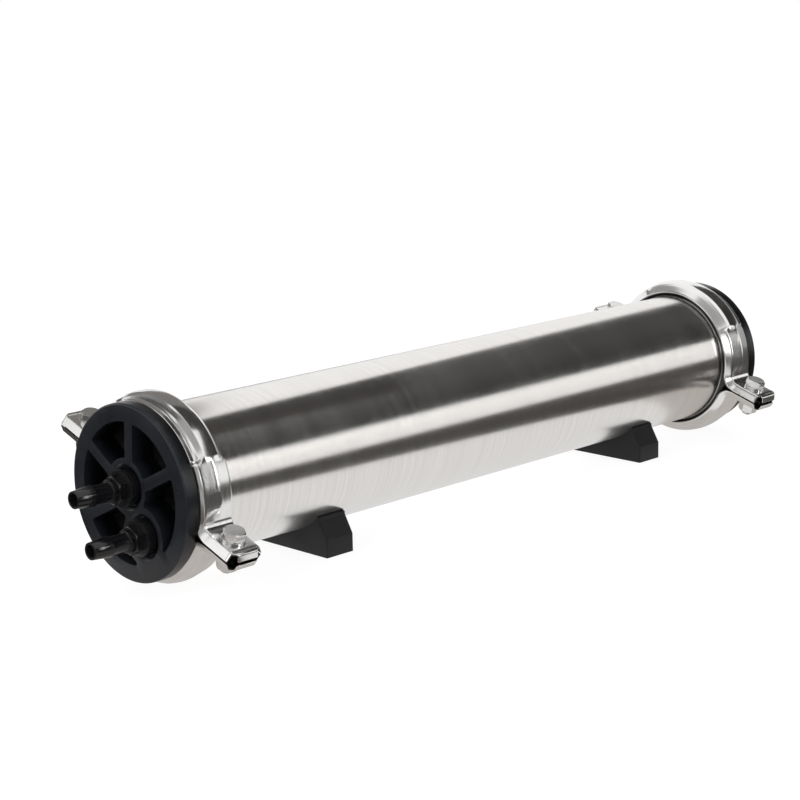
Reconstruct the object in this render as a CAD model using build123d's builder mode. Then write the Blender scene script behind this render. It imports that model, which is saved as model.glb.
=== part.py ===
"""Stainless membrane pressure vessel, lying on two saddle feet.

A polished tube with a flange at each end, closed by two ribbed plastic end
caps. A two-piece clamp with two bolts grips each cap against its flange. Each
cap carries two hose fittings, and the vessel holds one spiral-wound membrane
element. Millimetres, X along the vessel, Z up, origin on the ground under the
middle of the vessel, front end towards -X.

Stations are distances from the middle of the vessel, outwards along one end.
"""

import os
from math import atan2, cos, degrees, radians, sin, sqrt

from build123d import *

os.makedirs("parts", exist_ok=True)

# Vessel tube and its flanges
axis_height = 63.6
tube_diameter = 101.6
tube_wall = 2.0
tube_half_length = 274.5
flange_radius = 58.1
tube_flange_rim = 8.0
tube_flange_cone = 3.6
tube_flange_root = 1.8

# Clamp band, a pressed sheet that grips the two flanges
sheet = 1.8
grip_clearance = 0.3
panel_neck_clearance = 0.2
crown_rise = 2.3
crown_shoulder_rise = 1.85
crown_shoulder_half_width = 5.6
flank_drop = 5.45
flank_run = 5.5
front_flank_drop = 2.0
front_flank_run = 2.0

# Clamp ears, and the roof-shaped panels that lead to them
ear_gap = 1.5
ear_flank_run = 3.0
ear_shoulder_radius = 7.0
ear_side_reach = 87.6
ear_reach = 90.0
ear_end_half_width = 8.0
ear_end_flare = 2.0
ridge_half_width = 1.6
ridge_shoulder_drop = 0.35
flat_rise = 0.02
ridge_end_angle = 20.0
panel_angle = 45.0
crown_angle = 49.0
front_clamp_turn = 21.0
rear_clamp_turn = 18.0

# Clamp bolts, washers and nuts
bolt_reach = 75.0
bolt_diameter = 8.0
bolt_hole_clearance = 0.5
bolt_length = 25.0
hexagon_across_flats = 13.0
bolt_head_height = 5.3
nut_height = 6.5
nut_thread_clearance = 0.05
bolt_tip_chamfer = 0.8
washer_diameter = 16.0
washer_thickness = 1.6

# End caps
cap_flange_rim = 9.0
cap_standoff = 23.9
cap_disc_radius = 58.0
cap_disc_clearance = 0.3
cap_edge_radius = 1.2
cap_plug_depth = 24.0
cap_plug_clearance = 0.3
cap_plug_chamfer = 1.5
cap_rim_inner_radius = 46.5
recess_depth = 17.0
recess_corner_radius = 1.5
rib_width = 7.6
rib_angles = (90.0, 150.0, 210.0, 270.0)
hub_radius = 18.7
hub_offset = 4.5
side_boss_radius = 19.6
side_port_reach = 28.8
port_line_angle = -64.0
seat_radius = 12.9
seat_depth = 4.0
seat_bevel = 2.4
port_thread_radius = 6.6
port_thread_depth = 14.0
port_passage_radius = 5.0
chamber_outer_radius = 42.0
chamber_inner_radius = 17.0
chamber_depth = 11.0

# Seals in the caps
head_seal_height = 2.7
head_seal_width = 3.2
head_seal_groove_width = 4.0
head_seal_depths = (6.0, 15.0)
core_seal_height = 2.2
core_seal_width = 2.6
core_seal_groove_width = 3.0
core_seal_depths = (4.0, 9.0)

# Hose fittings and their gaskets
gasket_thickness = 1.0
gasket_outer_radius = 11.4
gasket_bore_radius = 7.0
fitting_flange_radius = 12.0
fitting_flange_front = 5.0
fitting_hexagon_across_flats = 17.0
fitting_hexagon_front = 11.5
fitting_neck_radius = 6.3
fitting_collar_start = 12.6
fitting_collar_front = 14.5
fitting_collar_radius = 7.4
fitting_stem_radius = 6.1
barb_ridge_start = 27.0
barb_ridge_radius = 6.9
barb_mouth_radius = 5.65
fitting_front = 41.0
fitting_bore_radius = 4.3
fitting_thread_radius = 6.5
fitting_thread_length = 11.0

# Saddle feet
foot_length = 24.2
foot_half_width = 43.5
foot_side_height = 12.5
foot_top_half_width = 36.5
foot_slope_height = 24.7
foot_top_height = 26.9
foot_edge_radius = 0.8
front_foot_inset = 116.5
rear_foot_inset = 97.2

# Membrane element
element_end_clearance = 10.0
element_radius = 46.6
core_diameter = 19.0
core_bore_diameter = 13.0
core_insertion = 16.0
core_clearance = 0.15
core_end_clearance = 1.5
end_device_clearance = 0.5
end_device_width = 13.0
end_device_rim = 5.0
end_device_hub = 5.0
end_device_spokes = 8
end_device_spoke_width = 4.0
brine_seal_width = 6.0
brine_seal_groove_depth = 2.5
brine_seal_lip = 1.5

# Sizes that follow from the ones above
tube_radius = tube_diameter / 2
bore_radius = tube_radius - tube_wall
face_station = tube_half_length + cap_standoff
crown_half_width = (tube_flange_rim + cap_flange_rim) / 2
clamp_station = tube_half_length + (cap_flange_rim - tube_flange_rim) / 2
crease_radius = flange_radius + grip_clearance + sheet
crown_radius = crease_radius + crown_rise
lip_radius = crease_radius - front_flank_drop
neck_radius = flange_radius - front_flank_drop
clamp_half_width = crown_half_width + flank_run
disc_station = clamp_station + clamp_half_width + cap_disc_clearance
plug_radius = bore_radius - cap_plug_clearance
plug_station = tube_half_length - cap_plug_depth
core_radius = core_diameter / 2
socket_radius = core_radius + core_clearance
core_half_length = plug_station + core_insertion
socket_station = core_half_length + core_end_clearance
plate_level = ear_gap / 2 + flank_drop
bolt_radius = bolt_diameter / 2
bearing_height = plate_level + flat_rise + washer_thickness
ear_half_width = clamp_half_width - ear_flank_run
roll_half_length = plug_station - element_end_clearance - end_device_width
vessel_axis = Axis((0, 0, axis_height), (1, 0, 0))


def section_plane(side, lean=0.0):
    """Plane through the vessel's axis: x runs outwards along one end, y is radial.

    lean turns the radial direction about the axis, from straight up, in degrees.
    """
    radial = Vector(0, -sin(radians(lean)), cos(radians(lean)))
    along = Vector(side, 0, 0)
    return Plane(origin=(0, 0, axis_height), x_dir=along, z_dir=along.cross(radial))


def face_plane(side, station):
    """Plane square to the axis at one end, looking outwards, y up."""
    return Plane(origin=(side * station, 0, axis_height), x_dir=(0, side, 0), z_dir=(side, 0, 0))


def save(part, name):
    """Name a finished piece and write its file."""
    part.label = name
    export_step(part, "parts/" + name + ".step")


# Vessel tube with a flange on each end

with BuildPart() as vessel_tube:
    with BuildSketch(face_plane(-1, tube_half_length)):
        Circle(tube_radius)
    extrude(amount=-2 * tube_half_length)
    rim_start = tube_half_length - tube_flange_rim
    cone_start = rim_start - tube_flange_cone
    cone_radius = flange_radius - tube_flange_cone * flank_drop / flank_run
    root_start = cone_start - tube_flange_root
    for side in (-1, 1):
        with BuildSketch(section_plane(side)):
            Polygon(
                (tube_half_length, bore_radius),
                (tube_half_length, flange_radius),
                (rim_start, flange_radius),
                (cone_start, cone_radius),
                (root_start, tube_radius),
                (root_start, bore_radius),
                align=None,
            )
        revolve(axis=vessel_axis)
    with BuildSketch(face_plane(-1, tube_half_length)):
        Circle(bore_radius)
    extrude(amount=-2 * tube_half_length, mode=Mode.SUBTRACT)

save(vessel_tube.part, "vessel_tube")


# Clamp halves


def clamp_plane(side, turn):
    """Plane square to the axis in the middle of a clamp: x along its split line."""
    split = Vector(0, cos(radians(turn)), sin(radians(turn)))
    return Plane(origin=(side * clamp_station, 0, axis_height), x_dir=split, z_dir=(1, 0, 0))


def sheet_profile(plane, outline):
    """Section of the pressed sheet: a flank, a raised top and the other flank."""
    inner = [(x, y - sheet) for x, y in outline]
    with BuildSketch(plane) as profile:
        with BuildLine():
            Polyline(outline[0], outline[1], outline[2])
            ThreePointArc(outline[2], outline[3], outline[4])
            Polyline(outline[4], outline[5], outline[6], outline[7], inner[7], inner[6], inner[5], inner[4])
            ThreePointArc(inner[4], inner[3], inner[2])
            Polyline(inner[2], inner[1], inner[0], outline[0])
        make_face()
    return profile.sketch


def band_outline(start):
    """Outer points of the band's section, from the rear edge to the front lip."""
    return [
        (start - clamp_half_width, crease_radius - flank_drop),
        (start - crown_half_width, crease_radius),
        (start - crown_shoulder_half_width, crease_radius + crown_shoulder_rise),
        (start, crown_radius),
        (start + crown_shoulder_half_width, crease_radius + crown_shoulder_rise),
        (start + crown_half_width, crease_radius),
        (start + crown_half_width + front_flank_run, lip_radius),
        (start + clamp_half_width, lip_radius),
    ]


def panel_outline(start, level, ridge_rise, shoulder_drop):
    """Outer points of the panel and the ear: a ridge over two creases at a level."""
    break_drop = flank_drop / 2 - flat_rise
    return [
        (start - clamp_half_width, level - flank_drop),
        (start - ear_half_width, level),
        (start - ridge_half_width, level + ridge_rise - shoulder_drop),
        (start, level + ridge_rise),
        (start + ridge_half_width, level + ridge_rise - shoulder_drop),
        (start + ear_half_width, level),
        (start + ear_half_width + ear_flank_run / 2, level - break_drop),
        (start + clamp_half_width, level - flank_drop),
    ]


def clamp_half(side, turn):
    """One pressed half of a clamp: the band, with an ear on each side of it.

    turn leans the split line. The half lies on the side that the y axis of the
    clamp's plane points to.
    """
    middle = clamp_plane(side, turn)
    blend_height = plate_level + ear_shoulder_radius
    blend_reach = sqrt((crease_radius + ear_shoulder_radius) ** 2 - blend_height**2)
    blend_angle = degrees(atan2(blend_height, blend_reach))
    panel_arc = panel_angle - ridge_end_angle
    shoulder_arc = 90 - blend_angle
    ridged = panel_outline(clamp_station, crease_radius, crown_rise, ridge_shoulder_drop)
    flat = panel_outline(clamp_station, crease_radius, flat_rise, flat_rise / 2)
    flat_plate = panel_outline(clamp_station, plate_level, flat_rise, flat_rise / 2)
    with BuildPart() as half:
        start = sheet_profile(section_plane(side, turn - 90 + crown_angle), band_outline(clamp_station))
        revolve(start, axis=vessel_axis, revolution_arc=180 - 2 * crown_angle)
        for hand in (-1, 1):
            # planes through the axis, at an angle from the ear's side of the split line
            crown_end, panel_end, ridge_end, blend_end = [
                section_plane(side, turn + hand * (angle - 90))
                for angle in (crown_angle, panel_angle, ridge_end_angle, blend_angle)
            ]
            crown_section = sheet_profile(crown_end, band_outline(clamp_station))
            panel_section = sheet_profile(panel_end, ridged)
            loft(sections=[crown_section, panel_section], ruled=True)
            ridge_section = sheet_profile(ridge_end, ridged)
            revolve(
                ridge_section if hand > 0 else panel_section, axis=vessel_axis, revolution_arc=panel_arc
            )
            blend_section = sheet_profile(blend_end, flat)
            loft(sections=[ridge_section, blend_section], ruled=True)

            across = middle.x_dir * hand
            blend_centre = middle.origin + across * blend_reach + middle.y_dir * blend_height
            foot = middle.origin + across * blend_reach
            plate_plane = Plane(
                origin=(0, foot.Y, foot.Z), x_dir=(side, 0, 0), z_dir=Vector(side, 0, 0).cross(middle.y_dir)
            )
            plate_start = sheet_profile(plate_plane, flat_plate)
            shoulder_start = blend_section if hand > 0 else plate_start
            revolve(shoulder_start, axis=Axis(blend_centre, (1, 0, 0)), revolution_arc=shoulder_arc)
            extrude(plate_start, amount=ear_side_reach - blend_reach, dir=across)

            top = Plane(
                origin=middle.origin + middle.y_dir * plate_level, x_dir=middle.x_dir, z_dir=middle.y_dir
            )
            with BuildSketch(top):
                Polygon(
                    (hand * ear_side_reach, ear_half_width),
                    (hand * ear_reach, ear_end_half_width),
                    (hand * ear_reach, -ear_end_half_width),
                    (hand * ear_side_reach, -ear_half_width),
                    align=None,
                )
            extrude(amount=-sheet)
            with BuildSketch(middle):
                Polygon(
                    (hand * ear_side_reach, plate_level),
                    (hand * ear_reach, plate_level),
                    (hand * (ear_reach + ear_end_flare), ear_gap / 2),
                    (hand * (ear_reach + ear_end_flare - sheet), ear_gap / 2),
                    (hand * (ear_reach - sheet), plate_level - sheet),
                    (hand * ear_side_reach, plate_level - sheet),
                    align=None,
                )
            extrude(amount=ear_end_half_width, both=True)

            with BuildSketch(top):
                with Locations((hand * bolt_reach, 0)):
                    Circle(bolt_radius + bolt_hole_clearance)
            extrude(amount=2 * sheet, both=True, mode=Mode.SUBTRACT)
        # the lower edges follow the cap's neck and the split line
        with BuildSketch(face_plane(side, clamp_station)):
            Circle(neck_radius + panel_neck_clearance)
        extrude(amount=2 * clamp_half_width, mode=Mode.SUBTRACT)
        with BuildSketch(middle):
            with Locations((0, ear_gap / 2)):
                Rectangle(3 * ear_reach, ear_reach, align=(Align.CENTER, Align.MAX))
        extrude(amount=2 * clamp_half_width, both=True, mode=Mode.SUBTRACT)
    return half.part


clamp_turns = {-1: front_clamp_turn, 1: rear_clamp_turn}
end_names = {-1: "front", 1: "rear"}

for side in (-1, 1):
    save(clamp_half(side, clamp_turns[side]), end_names[side] + "_clamp_upper")
    save(clamp_half(side, clamp_turns[side] + 180), end_names[side] + "_clamp_lower")


# Clamp bolts, washers and nuts


def hexagon(plane, across_flats, height):
    """Hexagonal prism standing on a plane, its corners bevelled at both ends."""
    flat = across_flats / 2
    corner = across_flats / sqrt(3)
    bevel = (corner - flat) / sqrt(3)
    with BuildPart() as prism:
        with BuildSketch(plane):
            RegularPolygon(flat, 6, major_radius=False, rotation=30)
        extrude(amount=height)
        upright = Plane(origin=plane.origin, x_dir=plane.x_dir, z_dir=plane.x_dir.cross(plane.z_dir))
        with BuildSketch(upright):
            Polygon(
                (0, 0),
                (flat, 0),
                (corner, bevel),
                (corner, height - bevel),
                (flat, height),
                (0, height),
                align=None,
            )
        revolve(axis=Axis(plane.origin, plane.z_dir), mode=Mode.INTERSECT)
    return prism.part


def bolt_plane(side, hand, level, way=1):
    """Plane square to a clamp bolt, at a level above the split line, facing way."""
    middle = clamp_plane(side, clamp_turns[side])
    centre = middle.origin + middle.x_dir * hand * bolt_reach + middle.y_dir * level
    return Plane(origin=centre, x_dir=(1, 0, 0), z_dir=middle.y_dir * way)


for side in (-1, 1):
    with BuildPart() as bolts:
        for hand in (-1, 1):
            seat = bolt_plane(side, hand, bearing_height)
            add(hexagon(seat, hexagon_across_flats, bolt_head_height))
            with BuildSketch(seat):
                Circle(bolt_radius)
            extrude(amount=bolt_tip_chamfer - bolt_length)
            with BuildSketch(seat.offset(bolt_tip_chamfer - bolt_length)):
                Circle(bolt_radius)
            with BuildSketch(seat.offset(-bolt_length)):
                Circle(bolt_radius - bolt_tip_chamfer)
            loft()
    save(bolts.part, end_names[side] + "_clamp_bolts")

    with BuildPart() as nuts:
        for hand in (-1, 1):
            seat = bolt_plane(side, hand, -bearing_height, -1)
            add(hexagon(seat, hexagon_across_flats, nut_height))
            with BuildSketch(seat):
                Circle(bolt_radius + nut_thread_clearance)
            extrude(amount=nut_height, mode=Mode.SUBTRACT)
    save(nuts.part, end_names[side] + "_clamp_nuts")

    with BuildPart() as washers:
        for hand in (-1, 1):
            for way in (-1, 1):
                with BuildSketch(bolt_plane(side, hand, way * bearing_height, way)):
                    Circle(washer_diameter / 2)
                    Circle(bolt_radius + bolt_hole_clearance, mode=Mode.SUBTRACT)
                extrude(amount=-washer_thickness)
    save(washers.part, end_names[side] + "_clamp_washers")


# End caps

port_line = radians(port_line_angle)
centre_port = (-hub_offset * cos(port_line), -hub_offset * sin(port_line))
side_port = (side_port_reach * cos(port_line), side_port_reach * sin(port_line))


def port_section(side, port):
    """Plane through a port's axis: x runs outwards along the vessel, y is radial."""
    along = Vector(side, 0, 0)
    origin = (0, side * port[0], axis_height + port[1])
    return Plane(origin=origin, x_dir=along, z_dir=along.cross(Vector(0, 0, 1)))


def port_axis(side, port):
    """Axis of a port."""
    return Axis((0, side * port[0], axis_height + port[1]), (1, 0, 0))


for side in (-1, 1):
    section = section_plane(side)
    face = face_plane(side, face_station)
    with BuildPart() as cap:
        rim_station = tube_half_length + cap_flange_rim
        corner = (face_station - cap_edge_radius, cap_disc_radius - cap_edge_radius)
        turn = cap_edge_radius / sqrt(2)
        with BuildSketch(section):
            with BuildLine():
                edge = ThreePointArc(
                    (corner[0], cap_disc_radius), (corner[0] + turn, corner[1] + turn), (face_station, corner[1])
                )
                Polyline(
                    edge @ 1,
                    (face_station, 0),
                    (plug_station, 0),
                    (plug_station, plug_radius - cap_plug_chamfer),
                    (plug_station + cap_plug_chamfer, plug_radius),
                    (tube_half_length, plug_radius),
                    (tube_half_length, flange_radius),
                    (rim_station, flange_radius),
                    (rim_station + front_flank_run, neck_radius),
                    (disc_station, neck_radius),
                    (disc_station, cap_disc_radius),
                    edge @ 0,
                )
            make_face()
        revolve(axis=vessel_axis)

        # recesses between the rim, the ribs, the hub and the side boss
        with BuildSketch(face) as recesses:
            Circle(cap_rim_inner_radius)
            with Locations(centre_port):
                Circle(hub_radius, mode=Mode.SUBTRACT)
            with Locations(side_port):
                Circle(side_boss_radius, mode=Mode.SUBTRACT)
            for angle in rib_angles:
                Rectangle(
                    cap_disc_radius,
                    rib_width,
                    rotation=port_line_angle + angle,
                    align=(Align.MIN, Align.CENTER),
                    mode=Mode.SUBTRACT,
                )
            fillet(recesses.vertices(), recess_corner_radius)
        extrude(amount=-recess_depth, mode=Mode.SUBTRACT)

        # threaded ports, one to the core tube and one to the chamber round it
        with BuildSketch(face_plane(side, plug_station)):
            Circle(socket_radius)
        extrude(amount=socket_station - plug_station, mode=Mode.SUBTRACT)
        with BuildSketch(face_plane(side, plug_station)):
            Circle(chamber_outer_radius)
            Circle(chamber_inner_radius, mode=Mode.SUBTRACT)
        extrude(amount=chamber_depth, mode=Mode.SUBTRACT)
        seat_station = face_station - seat_depth
        for port in (centre_port, side_port):
            with BuildSketch(port_section(side, port)):
                Polygon(
                    (face_station, 0),
                    (face_station, seat_radius + seat_bevel),
                    (face_station - seat_bevel, seat_radius),
                    (seat_station, seat_radius),
                    (seat_station, port_thread_radius),
                    (seat_station - port_thread_depth, port_thread_radius),
                    (seat_station - port_thread_depth, port_passage_radius),
                    (plug_station, port_passage_radius),
                    (plug_station, 0),
                    align=None,
                )
            revolve(axis=port_axis(side, port), mode=Mode.SUBTRACT)

        # grooves for the seals
        with BuildSketch(section):
            for depth in head_seal_depths:
                with Locations((tube_half_length - depth, bore_radius)):
                    Rectangle(head_seal_groove_width, head_seal_height, align=(Align.CENTER, Align.MAX))
            for depth in core_seal_depths:
                with Locations((plug_station + depth, core_radius)):
                    Rectangle(core_seal_groove_width, core_seal_height, align=(Align.CENTER, Align.MIN))
        revolve(axis=vessel_axis, mode=Mode.SUBTRACT)
    save(cap.part, end_names[side] + "_cap")

    with BuildPart() as head_seals:
        with BuildSketch(section):
            for depth in head_seal_depths:
                with Locations((tube_half_length - depth, bore_radius - head_seal_height / 2)):
                    SlotOverall(head_seal_width, head_seal_height)
        revolve(axis=vessel_axis)
    save(head_seals.part, end_names[side] + "_head_seals")

    with BuildPart() as core_seals:
        with BuildSketch(section):
            for depth in core_seal_depths:
                with Locations((plug_station + depth, core_radius + core_seal_height / 2)):
                    SlotOverall(core_seal_width, core_seal_height)
        revolve(axis=vessel_axis)
    save(core_seals.part, end_names[side] + "_core_seals")


# Hose fittings and their gaskets

gasket_station = face_station - seat_depth
fitting_seat = gasket_station + gasket_thickness


def hose_fitting(side, port):
    """Barbed hose fitting screwed into a port: thread, flange, hexagon and barb."""
    root = Plane(
        origin=(side * (face_station + fitting_flange_front), side * port[0], axis_height + port[1]),
        x_dir=(0, side, 0),
        z_dir=(side, 0, 0),
    )
    with BuildPart() as fitting:
        add(hexagon(root, fitting_hexagon_across_flats, fitting_hexagon_front - fitting_flange_front))
        with BuildSketch(port_section(side, port)):
            Polygon(
                (fitting_seat - fitting_thread_length, 0),
                (fitting_seat - fitting_thread_length, fitting_thread_radius),
                (fitting_seat, fitting_thread_radius),
                (fitting_seat, fitting_flange_radius),
                (face_station + fitting_flange_front, fitting_flange_radius),
                (face_station + fitting_flange_front, fitting_neck_radius),
                (face_station + fitting_collar_start, fitting_neck_radius),
                (face_station + fitting_collar_start, fitting_collar_radius),
                (face_station + fitting_collar_front, fitting_collar_radius),
                (face_station + fitting_collar_front, fitting_stem_radius),
                (face_station + barb_ridge_start, fitting_stem_radius),
                (face_station + barb_ridge_start, barb_ridge_radius),
                (face_station + fitting_front, barb_mouth_radius),
                (face_station + fitting_front, 0),
                align=None,
            )
        revolve(axis=port_axis(side, port))
        with BuildSketch(root.offset(fitting_front - fitting_flange_front)):
            Circle(fitting_bore_radius)
        extrude(amount=-2 * fitting_front, mode=Mode.SUBTRACT)
    return fitting.part


for side in (-1, 1):
    save(hose_fitting(side, centre_port), end_names[side] + "_centre_fitting")
    save(hose_fitting(side, side_port), end_names[side] + "_side_fitting")
    with BuildPart() as gaskets:
        with BuildSketch(face_plane(side, gasket_station)):
            with Locations(centre_port, side_port):
                Circle(gasket_outer_radius)
                Circle(gasket_bore_radius, mode=Mode.SUBTRACT)
        extrude(amount=gasket_thickness)
    save(gaskets.part, end_names[side] + "_fitting_gaskets")


# Saddle feet

for side, inset in ((-1, front_foot_inset), (1, rear_foot_inset)):
    centre = side * (tube_half_length - inset)
    with BuildPart() as foot:
        with BuildSketch(Plane(origin=(centre, 0, 0), x_dir=(0, 1, 0), z_dir=(1, 0, 0))):
            Polygon(
                (foot_half_width, 0),
                (foot_half_width, foot_side_height),
                (foot_top_half_width, foot_slope_height),
                (foot_top_half_width, foot_top_height),
                (-foot_top_half_width, foot_top_height),
                (-foot_top_half_width, foot_slope_height),
                (-foot_half_width, foot_side_height),
                (-foot_half_width, 0),
                align=None,
            )
        extrude(amount=foot_length / 2, both=True)
        fillet(foot.edges().filter_by_position(Axis.Z, foot_edge_radius, foot_top_height), foot_edge_radius)
        with BuildSketch(face_plane(1, centre)):
            Circle(tube_radius)
        extrude(amount=foot_length, both=True, mode=Mode.SUBTRACT)
    save(foot.part, end_names[side] + "_foot")


# Membrane element

with BuildPart() as core_tube:
    with BuildSketch(face_plane(1, -core_half_length)):
        Circle(core_radius)
        Circle(core_bore_diameter / 2, mode=Mode.SUBTRACT)
    extrude(amount=2 * core_half_length)

save(core_tube.part, "core_tube")

with BuildPart() as membrane_roll:
    with BuildSketch(face_plane(1, -roll_half_length)):
        Circle(element_radius)
        Circle(core_radius, mode=Mode.SUBTRACT)
    extrude(amount=2 * roll_half_length)

save(membrane_roll.part, "membrane_roll")

end_device_radius = bore_radius - end_device_clearance
seal_groove_radius = end_device_radius - brine_seal_groove_depth
seal_station = roll_half_length + end_device_width / 2

for side in (-1, 1):
    with BuildPart() as end_device:
        with BuildSketch(face_plane(side, roll_half_length)):
            Circle(end_device_radius)
            Circle(end_device_radius - end_device_rim, mode=Mode.SUBTRACT)
            Circle(core_radius + end_device_hub)
            spoke_length = end_device_radius - end_device_rim / 2
            for index in range(end_device_spokes):
                Rectangle(
                    spoke_length,
                    end_device_spoke_width,
                    rotation=index * 360 / end_device_spokes,
                    align=(Align.MIN, Align.CENTER),
                )
            Circle(core_radius, mode=Mode.SUBTRACT)
        extrude(amount=end_device_width)
        with BuildSketch(section_plane(side)):
            with Locations((seal_station, end_device_radius)):
                Rectangle(brine_seal_width, brine_seal_groove_depth, align=(Align.CENTER, Align.MAX))
        revolve(axis=vessel_axis, mode=Mode.SUBTRACT)
    save(end_device.part, end_names[side] + "_end_device")

with BuildPart() as brine_seal:
    lip_start = seal_station + brine_seal_width / 2 - brine_seal_lip
    with BuildSketch(section_plane(-1)):
        Polygon(
            (seal_station - brine_seal_width / 2, seal_groove_radius),
            (seal_station + brine_seal_width / 2, seal_groove_radius),
            (seal_station + brine_seal_width / 2, bore_radius),
            (lip_start, bore_radius),
            (lip_start - brine_seal_lip, seal_groove_radius + brine_seal_lip),
            (seal_station - brine_seal_width / 2, seal_groove_radius + brine_seal_lip),
            align=None,
        )
    revolve(axis=vessel_axis)

save(brine_seal.part, "brine_seal")
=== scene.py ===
"""Looks of a stainless membrane pressure vessel: tube, clamps, caps, fittings, feet and studio.

Lengths are metres, X along the vessel, Z up, origin on the ground under its middle.
"""

import bpy
import numpy as np
from bpy.props import FloatProperty, FloatVectorProperty, IntProperty, PointerProperty
from mathutils import Matrix, Vector


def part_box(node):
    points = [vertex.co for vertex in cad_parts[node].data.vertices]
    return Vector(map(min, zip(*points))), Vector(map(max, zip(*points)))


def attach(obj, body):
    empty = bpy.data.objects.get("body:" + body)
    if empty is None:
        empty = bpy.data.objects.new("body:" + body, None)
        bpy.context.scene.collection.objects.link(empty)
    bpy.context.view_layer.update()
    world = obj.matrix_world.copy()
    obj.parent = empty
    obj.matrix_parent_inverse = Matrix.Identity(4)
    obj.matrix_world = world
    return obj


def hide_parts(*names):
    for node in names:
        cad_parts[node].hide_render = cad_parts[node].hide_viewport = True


bl_info = {
    "name": "Membrane Pressure Vessel",
    "version": (1, 0, 0),
    "blender": (4, 5, 0),
    "location": "View3D > Sidebar > Vessel",
    "description": "Builds the tube, clamps, caps, fittings and studio of a membrane pressure vessel",
    "category": "Add Mesh",
}

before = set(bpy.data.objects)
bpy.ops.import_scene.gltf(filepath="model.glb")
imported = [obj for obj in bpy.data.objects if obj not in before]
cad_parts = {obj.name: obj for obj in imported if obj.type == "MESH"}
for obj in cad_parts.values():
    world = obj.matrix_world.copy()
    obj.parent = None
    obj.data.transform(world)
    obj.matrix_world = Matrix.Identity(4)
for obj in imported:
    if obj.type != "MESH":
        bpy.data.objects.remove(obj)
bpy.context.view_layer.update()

ENDS = ((-1, "front"), (1, "rear"))

# edges, overlaps and gaps of fine details, in metres
TUBE_EDGE = 0.0006
WASHER_EDGE = 0.0003
FITTING_EDGE = 0.00035
HEXAGON_BEVEL = 0.0009
TIP_BEVEL = 0.0008
TONGUE_LAP = 0.0006
TONGUE_BEND = 0.0016
TONGUE_STEP = 0.0003
# depths below a cap's face where the painted shade of its pockets is full and where it starts
RECESS_FLOOR = 0.01
RECESS_MOUTH = 0.001
WELD_GAP = 0.000002
TINY = 1e-6

# Settings


def length(name, description, default):
    """A length property in metres."""
    return FloatProperty(
        name=name, description=description, default=default, min=0.0, unit="LENGTH", precision=5
    )


def turn(name, description, degrees):
    """An angle property, given in degrees."""
    return FloatProperty(name=name, description=description, default=np.radians(degrees), subtype="ANGLE")


def tint(name, description, default):
    """A colour property."""
    return FloatVectorProperty(
        name=name, description=description, default=default, size=3, min=0.0, max=1.0, subtype="COLOR"
    )


class TubeSizes(bpy.types.PropertyGroup):
    """Sizes of the vessel tube and its two flanges."""

    axis_height: length("Axis height", "Height of the axis above the ground", 0.0636)
    radius: length("Radius", "Outer radius of the tube", 0.0508)
    bore: length("Bore radius", "Inner radius of the tube", 0.0488)
    half_length: length("Half length", "From the middle to an end face", 0.2745)
    flange_radius: length("Flange radius", "Radius of the rim at each end", 0.0581)
    rim: length("Rim width", "Straight width of the rim", 0.008)
    cone: length("Cone length", "Length of the flange's sloped back", 0.0036)
    root: length("Root length", "Length of the fillet down to the tube", 0.0018)


class ClampSizes(bpy.types.PropertyGroup):
    """Sizes of the pressed clamp halves."""

    station: length("Station", "From the vessel's middle to a clamp's", 0.275)
    sheet: length("Sheet", "Thickness of the pressed sheet", 0.0018)
    crease_radius: length("Crease radius", "Radius of the creases beside the crown", 0.0602)
    crown_half_width: length("Crown half width", "From the clamp's middle to a crease", 0.0085)
    crown_rise: length("Crown rise", "Height of the crown over its creases", 0.00228)
    crown_shoulder: length("Crown shoulder", "Half width of the crown's rounded top", 0.0056)
    crown_shoulder_rise: length("Crown shoulder rise", "Height of the crown where its sides begin", 0.00185)
    ridge_half_width: length("Ridge half width", "Half width of the panel's rounded ridge", 0.0016)
    ridge_drop: length("Ridge drop", "How far the ridge's sides lie below its top", 0.00035)
    flank_run: length("Flank run", "Width of a flank", 0.0055)
    flank_drop: length("Flank drop", "Depth of a flank", 0.00545)
    lip_drop: length("Lip drop", "Depth of the front step", 0.002)
    lip_run: length("Lip run", "Width of the front step", 0.002)
    neck_radius: length("Neck radius", "Least radius of the front edge", 0.0563)
    plate_level: length("Plate level", "Height of an ear above the split line", 0.0062)
    ear_gap: length("Ear gap", "Gap between the two halves", 0.0015)
    shoulder: length("Shoulder", "Fillet between the band and an ear", 0.007)
    ear_flank_run: length("Ear flank run", "Width of a flank beside panel and ear", 0.003)
    side_reach: length("Side reach", "From the axis to the end of the flanks", 0.0876)
    ear_reach: length("Ear reach", "From the axis to the end of an ear", 0.09)
    ear_flare: length("Ear flare", "How far the end wall leans out", 0.0017)
    wall_gap: length("Wall gap", "Gap between the end walls", 0.003)
    ear_end_half_width: length("Ear end half width", "Half width of the end wall", 0.008)
    ridge_end_angle: turn("Ridge end angle", "From the split line to the full ridge", 20.0)
    panel_angle: turn("Panel angle", "From the split line to the panel's end", 45.0)
    crown_angle: turn("Crown angle", "From the split line to the full crown", 49.0)
    front_turn: turn("Front turn", "Lean of the front clamp's split line", 21.0)
    rear_turn: turn("Rear turn", "Lean of the rear clamp's split line", 18.0)


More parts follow.
